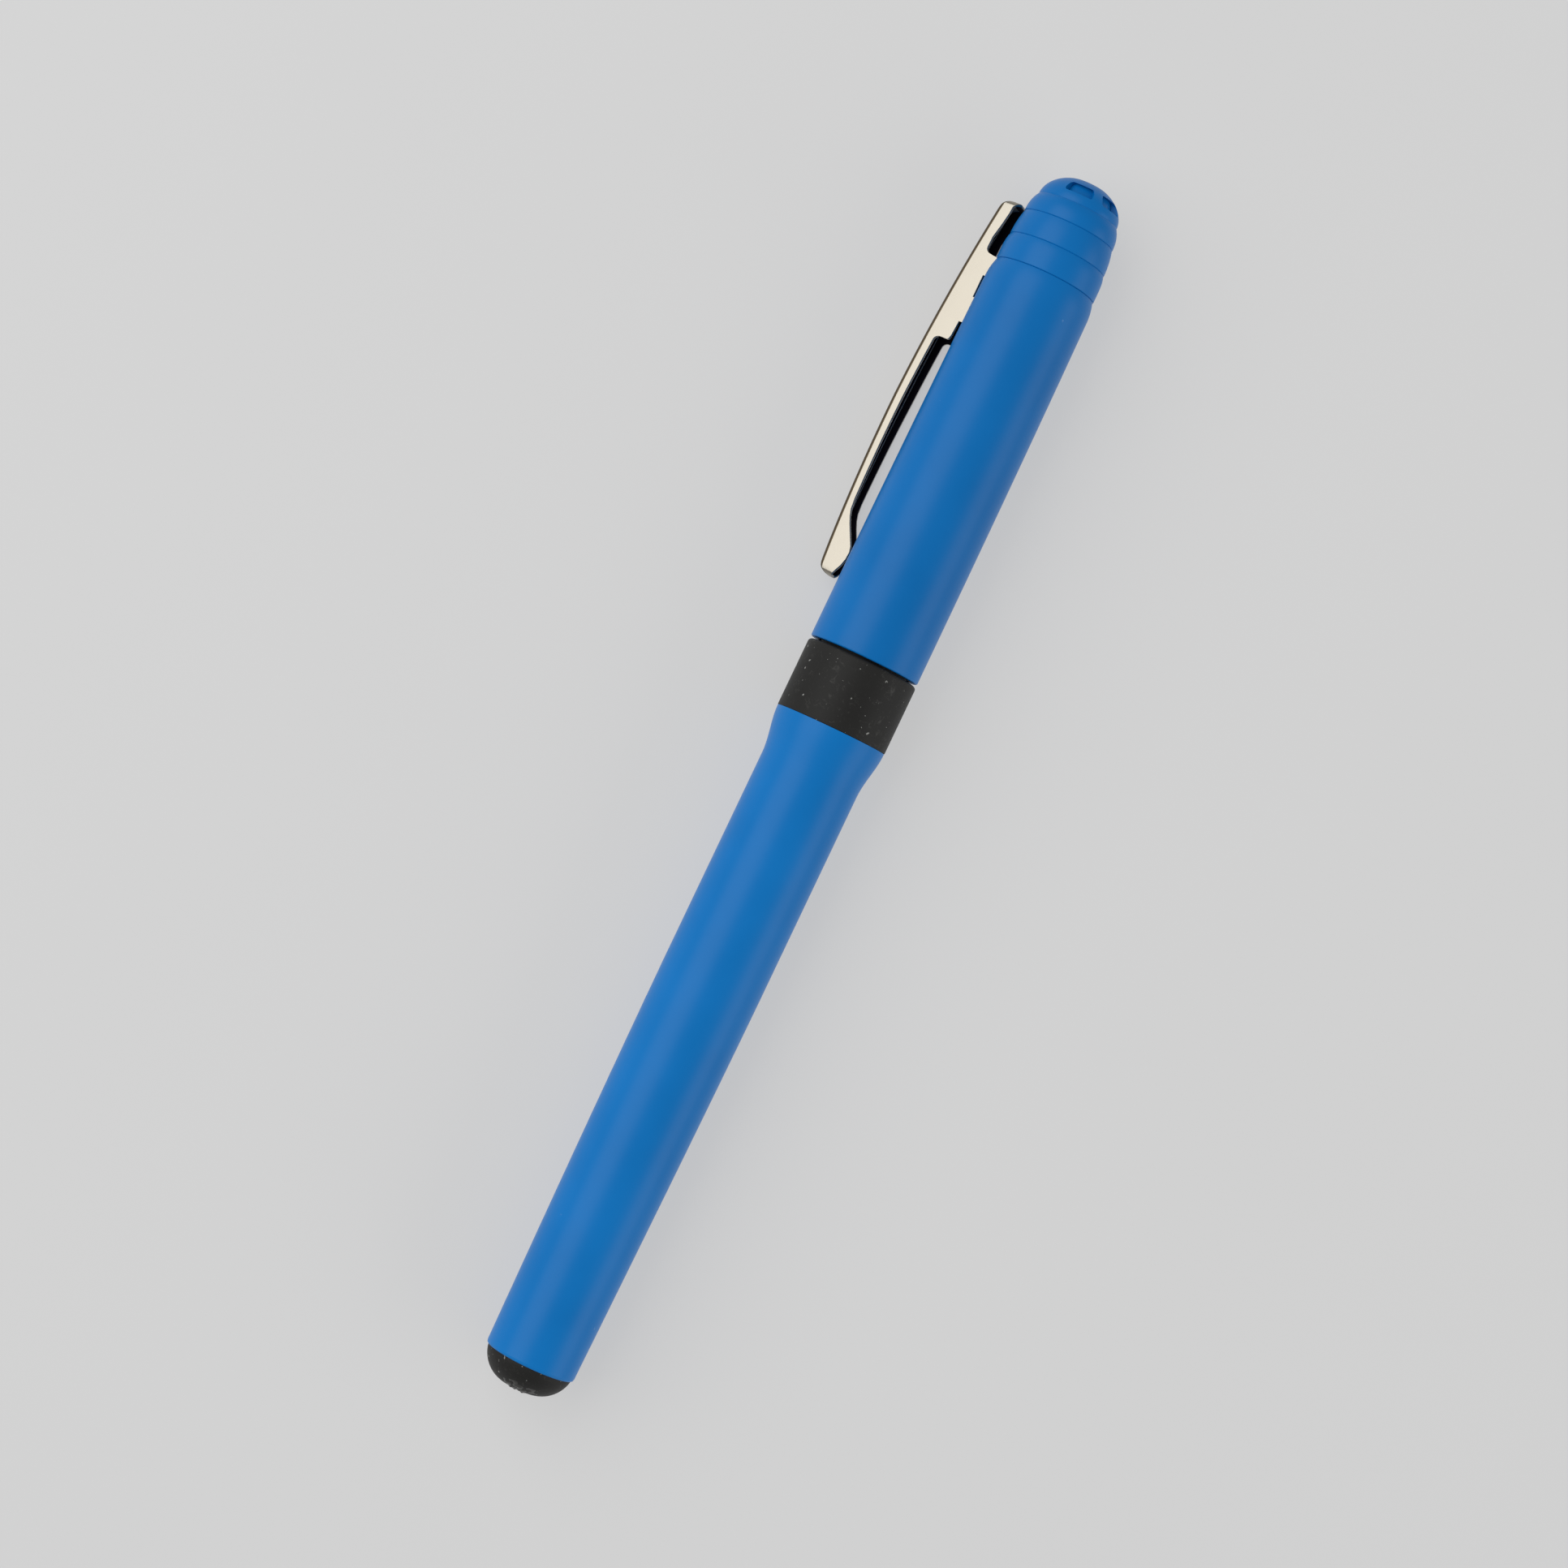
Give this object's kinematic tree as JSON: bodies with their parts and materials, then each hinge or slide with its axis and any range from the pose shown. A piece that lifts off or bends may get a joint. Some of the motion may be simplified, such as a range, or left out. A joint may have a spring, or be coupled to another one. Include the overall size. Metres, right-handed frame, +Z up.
{
  "type": "rollerball pen",
  "caption": "Slim capped rollerball pen with a push-on cap, sprung metal pocket clip, dark centre band, rounded tail plug and a fibre ink reservoir behind a ball tip.",
  "frame": {"origin": "centre of the base of the whole pen's bounding box, on the surface it lies on", "axes": "+X runs along the pen from the tail to the crown of the cap, +Z is up, and the clip lies on the +Y side, rolled down until it meets the surface"},
  "size_m": [0.138, 0.015, 0.0123],
  "materials": {
    "blue_plastic": "fine satin moulded blue plastic",
    "black_plastic": "matte moulded black plastic",
    "grip_rubber": "soft matte rubber with shallow ridges",
    "nose_steel": "turned steel, fine lathe marks",
    "white_plastic": "plain white moulded plastic",
    "nickel_silver": "turned nickel silver",
    "carbide": "polished tungsten carbide",
    "ink_fibre": "bonded fibre wet with blue ink",
    "clear_film": "clear film wrap",
    "seal_rubber": "soft elastomer",
    "clip_plate": "bright nickel plate on stamped steel"
  },
  "bodies": {
    "pen": {"barrel": "blue_plastic", "end_plug": "black_plastic", "centre_band": "black_plastic", "grip_core": "black_plastic", "grip_sleeve": "grip_rubber", "nose_cone": "nose_steel", "tip_holder": "white_plastic", "tip_body": "nickel_silver", "feed_core": "white_plastic", "relay_wick": "ink_fibre", "wick_plug": "white_plastic", "reservoir_fibre": "ink_fibre", "reservoir_film": "clear_film"},
    "ball": {"writing_ball": "carbide"},
    "cap": {"cap_shell": "blue_plastic", "inner_cap": "blue_plastic", "tip_seal": "seal_rubber", "clip_saddle": "clip_plate"},
    "clip": {"clip_arm": "clip_plate"}
  },
  "joints": [
    {"name": "cap_slide", "type": "slide", "parent": "pen", "child": "cap", "axis": [1, 0, 0], "range_m": [0, 0.06]},
    {"name": "clip_flex", "type": "hinge", "parent": "cap", "child": "clip", "pos_m": [0.0475, 0.0062, 0.00177], "axis": [0, -0.4987, -0.8668], "range_deg": [0, 4], "stiffness_Nm_per_rad": 1.2},
    {"name": "ball_roll", "type": "hinge", "parent": "pen", "child": "ball", "pos_m": [0.0618, -0.00138, 0.00613], "axis": [0, 1, 0], "continuous": true}
  ]
}
